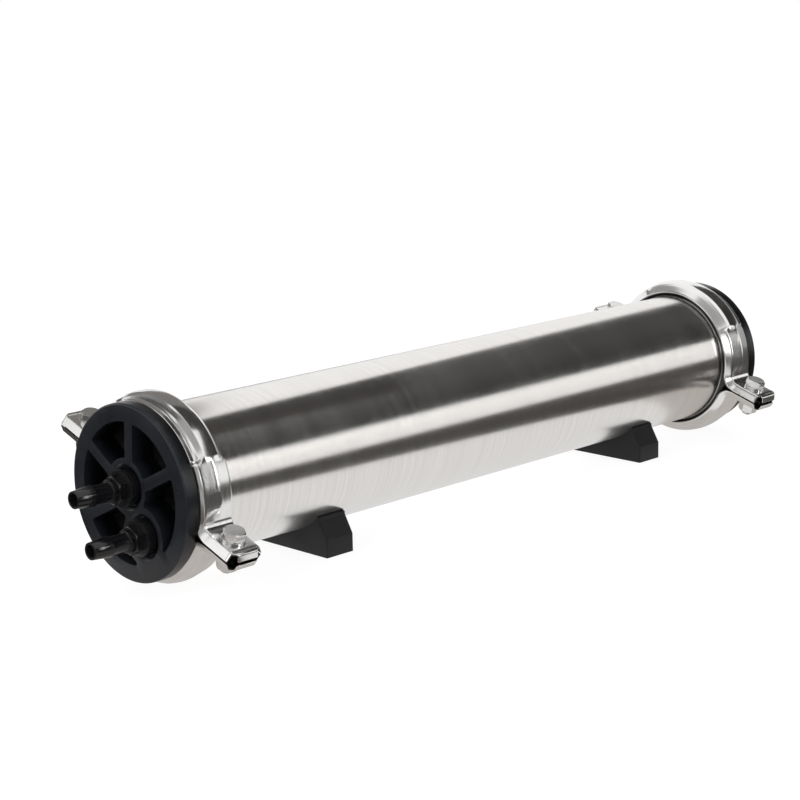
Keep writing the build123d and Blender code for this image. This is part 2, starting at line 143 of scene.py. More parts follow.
class FastenerSizes(bpy.types.PropertyGroup):
    """Sizes of the clamp bolts, nuts and washers."""

    reach: length("Reach", "From the vessel's axis to a bolt", 0.075)
    bearing: length("Bearing height", "From the split line to a bolt head", 0.00782)
    radius: length("Radius", "Radius of the bolt's shank", 0.004)
    bolt_length: length("Bolt length", "Length below the head", 0.025)
    pitch: length("Pitch", "Rise of the thread in one turn", 0.00125)
    across_flats: length("Across flats", "Width of head and nut", 0.013)
    head_height: length("Head height", "Height of the head", 0.0053)
    nut_height: length("Nut height", "Height of the nut", 0.0065)
    washer_radius: length("Washer radius", "Outer radius of a washer", 0.008)
    washer_bore: length("Washer bore", "Inner radius of a washer", 0.0045)
    washer_thickness: length("Washer thickness", "Thickness of a washer", 0.0016)


class FittingSizes(bpy.types.PropertyGroup):
    """Sizes of the hose fittings, measured from the cap's face."""

    face: length("Face", "From the vessel's middle to a cap's face", 0.2984)
    seat: length("Seat depth", "From the cap's face to the seat", 0.003)
    thread: length("Thread length", "Length of the thread below the seat", 0.011)
    thread_radius: length("Thread radius", "Radius of the thread", 0.0065)
    flange_radius: length("Flange radius", "Radius of the round flange", 0.012)
    flange_front: length("Flange front", "Front of the flange", 0.005)
    across_flats: length("Across flats", "Width of the hexagon", 0.017)
    hexagon_front: length("Hexagon front", "Front of the hexagon", 0.0115)
    neck_radius: length("Neck radius", "Radius between hexagon and collar", 0.0063)
    collar_start: length("Collar start", "Back of the collar", 0.0126)
    collar_front: length("Collar front", "Front of the collar", 0.0145)
    collar_radius: length("Collar radius", "Radius of the collar", 0.0074)
    stem_radius: length("Stem radius", "Radius of the stem", 0.0061)
    ridge_start: length("Ridge start", "Back of the barb's ridge", 0.027)
    ridge_radius: length("Ridge radius", "Radius of the barb's ridge", 0.0069)
    mouth_radius: length("Mouth radius", "Outer radius at the mouth", 0.00565)
    front: length("Front", "Front of the fitting", 0.041)
    bore: length("Bore", "Radius of the water way", 0.0043)


class Finishes(bpy.types.PropertyGroup):
    """Colours of the vessel's finishes."""

    tube_steel: tint("Tube steel", "Brushed and polished tube", (0.86, 0.835, 0.81))
    clamp_steel: tint("Clamp steel", "Polished pressed sheet", (0.88, 0.87, 0.86))
    cap_black: tint("Cap black", "Moulded end caps", (0.011, 0.013, 0.017))
    fitting_black: tint("Fitting black", "Glossy hose fittings", (0.008, 0.008, 0.009))
    foot_black: tint("Foot black", "Matt saddle feet", (0.007, 0.007, 0.008))
    rubber_black: tint("Rubber black", "Seals and gaskets", (0.012, 0.012, 0.012))
    element_white: tint("Element white", "Plastic of the membrane element", (0.78, 0.78, 0.75))
    wrap_white: tint("Wrap white", "Glass tape round the membrane roll", (0.8, 0.79, 0.74))


class Studio(bpy.types.PropertyGroup):
    """Camera and light."""

    camera_place: FloatVectorProperty(
        name="Camera place",
        description="Where the camera stands",
        default=(-1.0323, -0.978, 0.3878),
        unit="LENGTH",
    )
    azimuth: turn("Azimuth", "Direction of view, turned from +X towards +Y", 45.02)
    elevation: turn("Elevation", "How far the camera looks down", 12.46)
    roll: turn("Roll", "Turn of the camera about its line of sight", -1.26)
    lens: FloatProperty(
        name="Lens", description="Focal length on a 36 mm wide sensor, in millimetres", default=89.47
    )
    backdrop: FloatProperty(name="Backdrop", description="Strength of the white background", default=1.0)
    ambient: FloatProperty(name="Ambient", description="Strength of the even light", default=0.55)
    key_power: FloatProperty(name="Key power", description="Watts shared by the soft lights", default=10.0)


class VesselSettings(bpy.types.PropertyGroup):
    """Everything a user would change."""

    tube: PointerProperty(type=TubeSizes, name="Tube", description="Sizes of the tube")
    clamp: PointerProperty(type=ClampSizes, name="Clamps", description="Sizes of the clamp halves")
    fastener: PointerProperty(type=FastenerSizes, name="Fasteners", description="Sizes of the bolts and nuts")
    fitting: PointerProperty(type=FittingSizes, name="Fittings", description="Sizes of the hose fittings")
    finish: PointerProperty(type=Finishes, name="Finishes", description="Colours")
    studio: PointerProperty(type=Studio, name="Studio", description="Camera and light")
    segments: IntProperty(name="Segments", description="Steps round a turned piece", default=288, min=24)


# Surfaces


def placed(name, data):
    """A new object with the given data, unturned at the origin."""
    piece = bpy.data.objects.new(name, data)
    bpy.context.scene.collection.objects.link(piece)
    return piece


def smooth_mesh(name, vertices, quads, material, slot_name, *nodes, unshaded=None):
    """Make a piece from arrays of vertices and quads, ride it on the vessel and replace CAD nodes.

    A number for each vertex, where given, sets the painted shade of its finish: 1 leaves it unshaded, 0
    shades it fully.
    """
    mesh = bpy.data.meshes.new(name)
    mesh.vertices.add(len(vertices))
    mesh.vertices.foreach_set("co", np.ascontiguousarray(vertices, dtype=np.float32).ravel())
    mesh.loops.add(quads.size)
    mesh.loops.foreach_set("vertex_index", np.ascontiguousarray(quads, dtype=np.int32).ravel())
    mesh.polygons.add(len(quads))
    mesh.polygons.foreach_set("loop_start", np.arange(0, quads.size, 4, dtype=np.int32))
    mesh.polygons.foreach_set("use_smooth", np.ones(len(quads), dtype=bool))
    mesh.update(calc_edges=True)
    mesh.validate()
    if unshaded is not None:
        mesh.attributes.new("unshaded", "FLOAT", "POINT").data.foreach_set("value", unshaded.astype(np.float32))
    mesh.materials.append(material)
    piece = placed(name, mesh)
    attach(piece, "root")
    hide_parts(*nodes)
    return piece


def grid_quads(rows, columns, close_rows, close_columns):
    """Quads of a grid of rows by columns vertices, joined end to end where it is closed."""
    row_count = rows if close_rows else rows - 1
    column_count = columns if close_columns else columns - 1
    row, column = np.meshgrid(np.arange(row_count), np.arange(column_count), indexing="ij")
    next_row = (row + 1) % rows
    next_column = (column + 1) % columns
    corners = [
        row * columns + column,
        row * columns + next_column,
        next_row * columns + next_column,
        next_row * columns + column,
    ]
    return np.stack(corners, axis=-1).reshape(-1, 4)


def join_parts(parts):
    """Join several (vertices, quads) pairs into one pair, with the indices moved on."""
    starts = np.cumsum([0] + [len(vertices) for vertices, _ in parts[:-1]])
    vertices = np.concatenate([vertices for vertices, _ in parts])
    quads = np.concatenate([quads + start for (_, quads), start in zip(parts, starts)])
    return vertices, quads


def soften(values, rounds):
    """Move each row but the first and last half-way to the mean of its neighbours, some rounds."""
    for _ in range(rounds):
        values[1:-1] = values[1:-1] / 2 + (values[:-2] + values[2:]) / 4
    return values


def evenly(outline, spacing):
    """Points along an open line at an even spacing."""
    points = np.asarray(outline, dtype=float)
    steps = np.hypot(*np.diff(points, axis=0).T)
    walked = np.concatenate([[0.0], np.cumsum(steps)])
    stops = np.linspace(0.0, walked[-1], int(round(walked[-1] / spacing)) + 1)
    return np.stack([np.interp(stops, walked, points[:, k]) for k in (0, 1)], axis=1)


def corner_arcs(outline, radius, steps=5, closed=True):
    """An outline with each corner replaced by a round of at most a given radius.

    Each corner is cut back by the same distance along both of its edges, by less
    than half of the shorter one, and a quadratic curve with the corner as its
    middle control point joins the cuts.
    """
    points = np.asarray(outline, dtype=float)
    before = np.roll(points, 1, axis=0) - points
    after = np.roll(points, -1, axis=0) - points
    reach_before = np.hypot(before[:, 0], before[:, 1])
    reach_after = np.hypot(after[:, 0], after[:, 1])
    cut = np.minimum(radius, 0.45 * np.minimum(reach_before, reach_after))
    start = points + before * (cut / reach_before)[:, None]
    end = points + after * (cut / reach_after)[:, None]
    t = np.linspace(0.0, 1.0, steps)[None, :, None]
    rounds = (1 - t) ** 2 * start[:, None] + 2 * t * (1 - t) * points[:, None] + t**2 * end[:, None]
    if closed:
        return rounds.reshape(-1, 2)
    return np.concatenate([points[:1], rounds[1:-1].reshape(-1, 2), points[-1:]])


def turned(stations, radii, centre=(0.0, 0.0), side=1):
    """Points of a surface round a line along X through a centre (y, z).

    A grid has a row of radii r for each station s and a column for each angle
    t of a full turn. Its points are (side s, y + side r cos t, z + r sin t).
    """
    t = np.linspace(0.0, 2 * np.pi, radii.shape[1], endpoint=False)
    x = np.broadcast_to(side * stations[:, None], radii.shape)
    y, z = centre[0] + side * radii * np.cos(t), centre[1] + radii * np.sin(t)
    return np.stack([x, y, z], axis=-1).reshape(-1, 3)


def outward(vertices, quads):
    """Turn the quads over if the closed surface holds a negative volume."""
    corners = vertices[quads]
    first = np.einsum("ij,ij->i", corners[:, 0], np.cross(corners[:, 1], corners[:, 2]))
    second = np.einsum("ij,ij->i", corners[:, 0], np.cross(corners[:, 2], corners[:, 3]))
    if (first + second).sum() < 0:
        quads = quads[:, ::-1]
    return vertices, quads


# Materials

# share of its colour that steel keeps under painted shade, on the tube under a clamp and inside a clamp
SHADE_SHARE = 0.06
# where the painted shade on the tube starts and is full, beyond a clamp's edge
SHADE_START, SHADE_FULL = -0.0002, 0.0006


def wire(node, inputs):
    """Give inputs of a node, by name or number, a value or the output of another node."""
    for key, value in inputs.items():
        if isinstance(value, bpy.types.NodeSocket):
            node.id_data.links.new(value, node.inputs[key])
        else:
            node.inputs[key].default_value = value


def add(tree, kind, inputs=None, out=0, **settings):
    """An output of a new shader node with given inputs and settings."""
    node = tree.nodes.new(kind)
    for key, value in settings.items():
        setattr(node, key, value)
    wire(node, inputs or {})
    return node.outputs[out]


def finished(name, looks, *values, **more):
    """A new material, whose surface shader gets the inputs that a function of its node tree returns."""
    material = bpy.data.materials.new(name)
    material.use_nodes = True
    tree = material.node_tree
    wire(tree.nodes["Principled BSDF"], looks(tree, *values, **more))
    return material


def stretched_noise(tree, scale, detail, roughness):
    """Noise on object coordinates, with one scale or one for each axis."""
    place = add(tree, "ShaderNodeTexCoord", out="Object")
    stretched = add(tree, "ShaderNodeMapping", {"Vector": place, "Scale": tuple(np.full(3, scale))})
    inputs = {"Vector": stretched, "Scale": 1.0, "Detail": detail, "Roughness": roughness}
    return add(tree, "ShaderNodeTexNoise", inputs)


def spread(tree, source, low, high, dark=0.3, light=0.7):
    """Map a value between dark and light, the usual reach of noise, onto the range low to high."""
    reach = {"Value": source, "From Min": dark, "From Max": light, "To Min": low, "To Max": high}
    return add(tree, "ShaderNodeMapRange", reach)


def mixed(tree, share, first, second):
    """A share of the way from one colour to another."""
    return add(tree, "ShaderNodeMix", {0: share, 6: first, 7: second}, out=2, data_type="RGBA")


def toned(tree, source, colour, darker, lighter):
    """A colour that noise moves between a darker and a lighter share of it."""
    ends = [(*np.minimum(np.array(colour) * factor, 1.0), 1.0) for factor in (darker, lighter)]
    return mixed(tree, spread(tree, source, 0.0, 1.0), *ends)


def darkened(tree, colour, share):
    """A colour multiplied by a share."""
    return mixed(tree, share, (0.0, 0.0, 0.0, 1.0), colour)


def bump(tree, source, strength, distance):
    """Normal of a surface that a value raises."""
    return add(tree, "ShaderNodeBump", {"Height": source, "Strength": strength, "Distance": distance})


def along_vessel(tree, start, end, low, high):
    """A value from low to high as the distance from the vessel's middle goes from start to end."""
    x = add(tree, "ShaderNodeSeparateXYZ", {0: add(tree, "ShaderNodeTexCoord", out="Object")})
    distance = add(tree, "ShaderNodeMath", {0: x}, operation="ABSOLUTE")
    return spread(tree, distance, low, high, start, end)


def tube_looks(tree, colour, clamp_edge):
    """Polished steel with a fine grain round the tube, which blurs reflections along it.

    Under the clamps' edges, which stand at a given distance, painted shade makes it dark.
    """
    grain = stretched_noise(tree, (1600.0, 4.0, 4.0), 2.0, 0.6)
    broad = stretched_noise(tree, (60.0, 3.0, 3.0), 3.0, 0.6)
    # painted shade: past each clamp's edge the tube's colour drops to a small share
    under_clamp_shade = along_vessel(tree, clamp_edge + SHADE_START, clamp_edge + SHADE_FULL, 1.0, SHADE_SHARE)
    terms = {0: spread(tree, grain, 0.0, 0.03), 1: spread(tree, broad, 0.19, 0.23)}
    return {
        "Base Color": darkened(tree, toned(tree, grain, colour, 0.91, 1.03), under_clamp_shade),
        "Metallic": 1.0,
        "Roughness": add(tree, "ShaderNodeMath", terms, operation="ADD"),
        "Normal": bump(tree, grain, 0.04, 0.0001),
        "Anisotropic": 0.75,
        "Tangent": add(tree, "ShaderNodeCombineXYZ", {"X": 1.0}),
    }


def clamp_looks(tree, colour):
    """Bright polished sheet with faint drawing marks and a slight unevenness, darkened inside by painted
    shade.
    """
    marks = stretched_noise(tree, (300.0, 60.0, 60.0), 2.0, 0.5)
    waves = stretched_noise(tree, 55.0, 2.0, 0.5)
    # painted shade: the sheet's inner faces, marked on each vertex, darken to a small share of the colour
    unshaded = add(tree, "ShaderNodeAttribute", out="Fac", attribute_name="unshaded")
    share = spread(tree, unshaded, SHADE_SHARE, 1.0, 0.4, 0.9)
    return {
        "Base Color": darkened(tree, toned(tree, marks, colour, 0.96, 1.03), share),
        "Metallic": 1.0,
        "Roughness": spread(tree, marks, 0.16, 0.2),
        "Normal": bump(tree, waves, 0.03, 0.0003),
    }


def fastener_looks(tree, colour):
    """Bright steel of bolts, nuts and washers, a little duller than the clamps."""
    speckle = stretched_noise(tree, 260.0, 2.0, 0.5)
    return {
        "Base Color": toned(tree, speckle, colour, 0.94, 1.02),
        "Metallic": 1.0,
        "Roughness": spread(tree, speckle, 0.21, 0.26),
        "Normal": bump(tree, speckle, 0.02, 0.00002),
    }


def plastic_looks(tree, colour, roughness, grain_scale, grain_depth, mottle=0.25, gloss=0.5, recess=()):
    """Moulded plastic or rubber: a fine grain in its relief and a soft mottle in its colour and gloss.

    A recess, given by the distances of its floor and its mouth, darkens downwards with painted shade.
    """
    grain = stretched_noise(tree, grain_scale, 3.0, 0.55)
    cloud = stretched_noise(tree, grain_scale / 30, 4.0, 0.6)
    tone = toned(tree, cloud, colour, 1 - mottle, 1 + mottle)
    # painted shade: the colour darkens with depth in the recess
    if recess:
        tone = darkened(tree, tone, along_vessel(tree, *recess, 0.1, 1.0))
    return {
        "Base Color": tone,
        "Roughness": spread(tree, cloud, roughness * 0.85, roughness * 1.15),
        "Specular IOR Level": gloss,
        "Normal": bump(tree, grain, 0.25, grain_depth),
    }


def wrap_looks(tree, colour):
    """Glass tape wound round the membrane roll: broad bands with a fine weave."""
    bands = stretched_noise(tree, (25.0, 2.0, 2.0), 2.0, 0.5)
    weave = stretched_noise(tree, (1200.0, 400.0, 400.0), 2.0, 0.5)
    tone = toned(tree, bands, colour, 0.9, 1.0)
    return {"Base Color": tone, "Roughness": 0.5, "Normal": bump(tree, weave, 0.3, 0.0002)}


def dress(material, *nodes):
    """Give CAD nodes a material."""
    for name in nodes:
        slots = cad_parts[name].data.materials
        slots.clear()
        slots.append(material)


# Tube


class VESSEL_OT_tube(bpy.types.Operator):
    """Turn the polished tube with its two flanges"""

    bl_idname = "vessel.tube"
    bl_label = "Vessel tube"

    def execute(self, context):
        settings = context.scene.vessel
        tube, clamp = settings.tube, settings.clamp
        rim_start = tube.half_length - tube.rim
        cone_start = rim_start - tube.cone
        cone_radius = tube.flange_radius - tube.cone * clamp.flank_drop / clamp.flank_run
        one_end = [
            (cone_start - tube.root, tube.radius),
            (cone_start, cone_radius),
            (rim_start, tube.flange_radius),
            (tube.half_length, tube.flange_radius),
            (tube.half_length, tube.bore),
        ]
        other_end = [(-s, r) for s, r in reversed(one_end)]
        profile = corner_arcs(one_end + other_end, TUBE_EDGE)
        radii = np.tile(profile[:, 1:], settings.segments)
        vertices = turned(profile[:, 0], radii, (0.0, tube.axis_height))
        vertices, quads = outward(vertices, grid_quads(*radii.shape, True, True))
        clamp_edge = clamp.station - clamp.crown_half_width - clamp.flank_run
        steel = settings.finish.tube_steel
        material = finished("brushed_tube_steel", tube_looks, steel, clamp_edge)
        smooth_mesh("polished_tube", vertices, quads, material, "tube_steel", "vessel_tube")
        return {"FINISHED"}


# Clamps

# stops along the line of a clamp half, and across its sheet
PLATE_STOPS, SHOULDER_STOPS, CIRCLE_STOPS = 9, 19, 361
FLANK_STOPS, TOP_STOPS, LIP_STOPS = 9, 43, 17
# least thickness of the pressed sheet, as a share of its full one
THINNEST = 0.12


def clamp_path(clamp):
    """Line of the crease round one half, from ear to ear, as (e, n, normal e, normal n, angle).

    It is a straight plate, a hollow shoulder of a given radius that meets the
    circle of the creases, that circle, and the same again on the other side.
    The angle is the one from the split line, which chooses the section.
    """
    rise = clamp.plate_level + clamp.shoulder
    reach = np.sqrt((clamp.crease_radius + clamp.shoulder) ** 2 - rise**2)
    blend = np.arctan2(rise, reach)
    plate_e = np.linspace(clamp.side_reach, reach, PLATE_STOPS)[:-1]
    plate = np.stack([plate_e, np.full_like(plate_e, clamp.plate_level)], axis=1)
    plate_normal = np.tile([0.0, 1.0], (len(plate), 1))
    swing = np.linspace(0.0, np.pi / 2 - blend, SHOULDER_STOPS)[:-1]
    shoulder_normal = np.stack([np.sin(swing), np.cos(swing)], axis=1)
    shoulder = np.array([reach, rise]) - clamp.shoulder * shoulder_normal
    angle = np.linspace(blend, np.pi - blend, CIRCLE_STOPS)
    circle_normal = np.stack([np.cos(angle), np.sin(angle)], axis=1)
    circle = clamp.crease_radius * circle_normal
    side = np.block([[plate, plate_normal], [shoulder, shoulder_normal]])
    mirrored = side[::-1] * [-1.0, 1.0, -1.0, 1.0]
    line = np.concatenate([side, np.hstack([circle, circle_normal]), mirrored])
    ends = np.zeros(len(side))
    angles = np.concatenate([ends, np.minimum(angle, np.pi - angle), ends])
    return line[:, :2], line[:, 2:], angles


def sheet_sections(clamp, points, normals, angles):
    """Stations and outer and inner heights of the pressed sheet at each stop of the path.

    A number p runs from -2 to 2 across the sheet: the rear flank up to -1, the
    top up to 1 and the front flank up to 2. Round the band the top is a broad
    crown, beside the ears it is a panel with a ridge, and on the ears it is
    flat. The creases lie further apart on panel and ear than on the band. The
    flanks stop where they would pass the split line or the cap's neck.
    """

    def rising(low, high):
        """Smooth step of the angle from the split line, from 0 at low to 1 at high."""
        t = np.clip((angles - low) / (high - low), 0.0, 1.0)
        return (t * t * (3 - 2 * t))[:, None]

    blend = np.arcsin((clamp.plate_level + clamp.shoulder) / (clamp.crease_radius + clamp.shoulder))
    crowned = rising(clamp.panel_angle, clamp.crown_angle)
    ridged = rising(blend, clamp.ridge_end_angle)
    half = clamp.crown_half_width + clamp.flank_run
    crease = half - clamp.ear_flank_run + crowned * (clamp.ear_flank_run - clamp.flank_run)
    rear = np.linspace(-2.0, -1.0, FLANK_STOPS)[:-1]
    front = np.linspace(1.0, 2.0, LIP_STOPS)[1:]
    p = np.concatenate([rear, np.linspace(-1.0, 1.0, TOP_STOPS), front])[None, :]
    top = np.clip(np.abs(p), 0.0, 1.0)
    flank = np.clip(np.abs(p) - 1.0, 0.0, 1.0)
    x = np.sign(p) * (crease * top + (half - crease) * flank)
    reach = np.abs(x)

    def roof(top_width, width, height, drop):
        """Sides that climb straight from the creases to a round top of a given half width."""
        side = (height - drop) * np.clip((width - reach) / (width - top_width), 0.0, 1.0)
        return side + drop * np.clip(1 - (reach / top_width) ** 2, 0.0, 1.0)

    crown = roof(clamp.crown_shoulder, crease, clamp.crown_rise, clamp.crown_rise - clamp.crown_shoulder_rise)
    ridge = roof(clamp.ridge_half_width, crease, clamp.crown_rise, clamp.ridge_drop)
    step = np.clip((x - crease) / clamp.lip_run, 0.0, 1.0)
    band = crown - np.where(p > 0, clamp.lip_drop * step, clamp.flank_drop * flank)
    panel = ridged * ridge - clamp.flank_drop * flank
    outer = crowned * band + (1 - crowned) * panel
    soften(outer.T, rounds=3)
    inner = outer - clamp.sheet

    def limited(height):
        """Heights kept above the split line, and outside the neck in front."""
        n, dn = points[:, 1][:, None], normals[:, 1][:, None]
        lowest = (clamp.ear_gap / 2 - n) / np.maximum(dn, TINY)
        height = np.maximum(height, lowest)
        along = np.einsum("ij,ij->i", points, normals)[:, None]
        spare = along**2 - (np.einsum("ij,ij->i", points, points)[:, None] - clamp.neck_radius**2)
        neck = np.where(spare > 0, -along + np.sqrt(np.clip(spare, 0.0, None)), -1.0)
        return np.where(p > 1, np.maximum(height, neck), height)

    return x, limited(outer), limited(inner)


def swept_sheet(points, normals, xs, heights, hand=1, lowest=-np.inf):
    """Closed surface that a sheet's section sweeps along a line, with a mark for its outer vertices.

    Each ring of stations and heights over the line runs across the outside in
    its first half, and back across the inside in its second half.
    """
    place = points[:, None, :] + normals[:, None, :] * heights[..., None]
    e, n = hand * place[..., 0], np.maximum(place[..., 1], lowest)
    stops, ring = xs.shape
    half = ring // 2
    lower = np.arange(half - 1)
    start = np.stack([lower, ring - 1 - lower, ring - 2 - lower, lower + 1], axis=1)
    end = start[:, ::-1] + (stops - 1) * ring
    quads = np.concatenate([grid_quads(stops, ring, False, True), start, end])
    vertices, quads = outward(np.stack([xs, e, n], axis=-1).reshape(-1, 3), quads)
    outside = np.tile(np.arange(ring) < half, stops)
    return vertices, quads, outside.astype(float)


def clamp_surface(clamp):
    """One clamp half in its own plane: x along the vessel, e along the split, n up."""
    points, normals, angles = clamp_path(clamp)
    x, outer, inner = sheet_sections(clamp, points, normals, angles)
    inner = np.minimum(inner, outer - clamp.sheet * THINNEST)
    heights = np.concatenate([outer, inner[:, ::-1]], axis=1)
    return swept_sheet(points, normals, np.concatenate([x, x[:, ::-1]], axis=1), heights)


def ear_tongue(clamp, hand):
    """End of an ear: the plate narrows past the flanks and bends down into a leaning end wall.

    A strip of the sheet's thickness, with eased edges, is carried along the line
    of the plate and the wall, with a rounded bend between them.
    """
    corners = [
        (clamp.side_reach - TONGUE_LAP, clamp.plate_level),
        (clamp.ear_reach, clamp.plate_level),
        (clamp.ear_reach + clamp.ear_flare, clamp.wall_gap / 2),
    ]
    bent = corner_arcs(corners, TONGUE_BEND, steps=9, closed=False)
    line = soften(evenly(bent, TONGUE_STEP), rounds=2)
    tangent = np.gradient(line, axis=0)
    tangent /= np.hypot(tangent[:, 0], tangent[:, 1])[:, None]
    normal = np.stack([-tangent[:, 1], tangent[:, 0]], axis=1)
    narrowing = np.clip((line[:, 0] - clamp.side_reach) / (clamp.ear_reach - clamp.side_reach), 0.0, 1.0)
    start_half = clamp.crown_half_width + clamp.flank_run - clamp.ear_flank_run
    half = start_half + (clamp.ear_end_half_width - start_half) * narrowing
    edge = np.array([-1.0, -0.97, -0.9, 0.0, 0.9, 0.97, 1.0])
    dip = np.array([0.0003, 0.0001, 0.0, 0.0, 0.0, 0.0001, 0.0003])
    xs = half[:, None] * np.concatenate([edge, edge[::-1]])
    depth = np.concatenate([-dip, (dip - clamp.sheet)[::-1]])
    return swept_sheet(line, normal, xs, depth, hand, clamp.wall_gap / 2)


def in_clamp_plane(settings, side, local, over=0.0):
    """Carry points (x, e, n) of a clamp's plane to the vessel.

    The split line leans by the clamp's angle and a given turn over.
    """
    clamp = settings.clamp
    angle = over + (clamp.front_turn if side < 0 else clamp.rear_turn)
    x = side * (clamp.station + local[:, 0])
    y = local[:, 1] * np.cos(angle) - local[:, 2] * np.sin(angle)
    z = settings.tube.axis_height + local[:, 1] * np.sin(angle) + local[:, 2] * np.cos(angle)
    return np.stack([x, y, z], axis=1)


class VESSEL_OT_clamps(bpy.types.Operator):
    """Press the four clamp halves from sheet"""

    bl_idname = "vessel.clamps"
    bl_label = "Clamp halves"

    def execute(self, context):
        settings = context.scene.vessel
        clamp = settings.clamp
        material = finished("polished_clamp_steel", clamp_looks, settings.finish.clamp_steel)
        parts = [clamp_surface(clamp), ear_tongue(clamp, 1), ear_tongue(clamp, -1)]
        local, quads = join_parts([part[:2] for part in parts])
        # marks of the outer vertices, which the painted shade on the inner faces leaves clear
        unshaded = np.concatenate([part[2] for part in parts])
        for side, end in ENDS:
            for half, over in (("upper", 0.0), ("lower", np.pi)):
                vertices, faces = outward(in_clamp_plane(settings, side, local, over), quads)
                node = end + "_clamp_" + half
                smooth_mesh(node + "_sheet", vertices, faces, material, "clamp_steel", node, unshaded=unshaded)
        return {"FINISHED"}


# Fasteners

# levels of a prism's lower half where its shape needs points, as shares of its height
PRISM_LEVELS = np.array([0.0, 0.01, 0.02, 0.035, 0.05, 0.07, 0.09, 0.12, 0.15, 0.3])
# radii of a prism's end face and of the hole that a fan closes, as shares of the flats' radius
FACE_SHARE, POLE_SHARE = 0.985, 0.02
# depth of a thread as a share of its pitch, and the rows that show one pitch
THREAD_DEPTH, ROWS_A_PITCH = 0.5, 10
# bore of a nut as a share of the bolt's radius, so that no gap shows between them
NUT_BORE = 0.99


def hexagon_radius(angle, across_flats):
    """Distance from the middle of a hexagon to its side.

    It is half the hexagon's width over the cosine of the angle to the nearest flat.
    """
    wrapped = (angle + np.pi / 6) % (np.pi / 3) - np.pi / 6
    return across_flats / 2 / np.cos(wrapped)


def about_bolt(heights, radii, hollow):
    """Surface (x, e, n) about a bolt's line, which is a ring if hollow, or else has its ends filled."""
    vertices = turned(heights, radii)[:, ::-1]
    quads = grid_quads(*radii.shape, hollow, True)
    if not hollow:
        vertices, quads = with_poles(vertices, quads, *radii.shape)
    return outward(vertices, quads)


def hexagon_prism(across_flats, bottom, top, bore=0.0, segments=144):
    """Hexagonal prism with its corners turned down at both ends.

    Its radius at each height is the smaller of the hexagon's and that of a
    cone of 30 degrees that starts inside the flats' width on each end face.
    """
    angle = np.linspace(0.0, 2 * np.pi, segments, endpoint=False)
    flat = across_flats / 2
    height = top - bottom
    level = np.concatenate([PRISM_LEVELS, [0.5], 1 - PRISM_LEVELS[::-1]]) * height
    cone = flat * FACE_SHARE + np.minimum(level, height - level) * np.sqrt(3)
    radii = np.minimum(hexagon_radius(angle, across_flats), cone[:, None])
    inner = np.full((1, segments), max(bore, flat * POLE_SHARE))
    heights = bottom + np.concatenate([[0.0], level, [height]])
    return about_bolt(heights, np.concatenate([inner, radii, inner]), bore > 0)


def with_poles(vertices, quads, rows, columns):
    """Close the first and last row of a grid with a fan of quads round a middle point each."""
    grid = vertices.reshape(rows, columns, 3)
    middle = np.stack([grid[0].mean(axis=0), grid[-1].mean(axis=0)])
    even = np.arange(0, columns, 2)
    one, two = (even + 1) % columns, (even + 2) % columns
    pole = np.full_like(even, len(vertices))
    base = (rows - 1) * columns
    first = np.stack([pole, two, one, even], axis=1)
    last = np.stack([pole + 1, base + even, base + one, base + two], axis=1)
    return np.concatenate([vertices, middle]), np.concatenate([quads, first, last])


def threaded_shank(radius, pitch, top, bottom, segments=48):
    """Bolt shank with a bevelled tip.

    Its radius ripples by a triangle wave of the height over the pitch less the turn.
    """
    heights = np.linspace(top, bottom, int((top - bottom) / pitch * ROWS_A_PITCH))
    level = heights[:, None]
    turns = np.arange(segments) / segments
    ripple = np.abs(2 * ((level / pitch - turns) % 1.0) - 1)
    radii = radius - THREAD_DEPTH * pitch * np.clip(ripple * 1.2 - 0.1, 0.0, 1.0)
    radii = np.minimum(radii, radius - TIP_BEVEL + np.clip(level - bottom, 0.0, None))
    return about_bolt(heights, radii, False)


def flat_ring(outer, inner, bottom, top, segments=96):
    """Washer with eased edges: a rounded rectangle turned about the bolt's line."""
    profile = corner_arcs([(bottom, inner), (top, inner), (top, outer), (bottom, outer)], WASHER_EDGE)
    return about_bolt(profile[:, 0], np.tile(profile[:, 1:], segments), True)


def sharpen(piece, degrees):
    """Mark edges that turn by more than an angle as sharp, so that flats stay flat."""
    piece.data.set_sharp_from_angle(angle=np.radians(degrees))


class VESSEL_OT_fasteners(bpy.types.Operator):
    """Make the bolts, nuts and washers of the clamps"""

    bl_idname = "vessel.fasteners"
    bl_label = "Clamp bolts, nuts and washers"

    def execute(self, context):
        settings = context.scene.vessel
        size = settings.fastener
        material = finished("bright_fastener_steel", fastener_looks, settings.finish.clamp_steel)
        seat, bore = size.bearing, size.radius * NUT_BORE
        kinds = {
            "bolts": [
                hexagon_prism(size.across_flats, seat, seat + size.head_height),
                threaded_shank(size.radius, size.pitch, seat, seat - size.bolt_length),
            ],
            "nuts": [hexagon_prism(size.across_flats, -seat - size.nut_height, -seat, bore)],
            "washers": [
                flat_ring(size.washer_radius, size.washer_bore, seat - size.washer_thickness, seat),
                flat_ring(size.washer_radius, size.washer_bore, -seat, size.washer_thickness - seat),
            ],
        }
        for side, end in ENDS:
            for kind, parts in kinds.items():
                local, quads = join_parts(parts)
                moved = [local + [0.0, hand * size.reach, 0.0] for hand in (-1, 1)]
                pair = [(in_clamp_plane(settings, side, points), quads) for points in moved]
                vertices, faces = outward(*join_parts(pair))
                node = end + "_clamp_" + kind
                piece = smooth_mesh(node + "_bright", vertices, faces, material, "fastener_steel", node)
                sharpen(piece, 14.0)
        return {"FINISHED"}


# Caps and feet


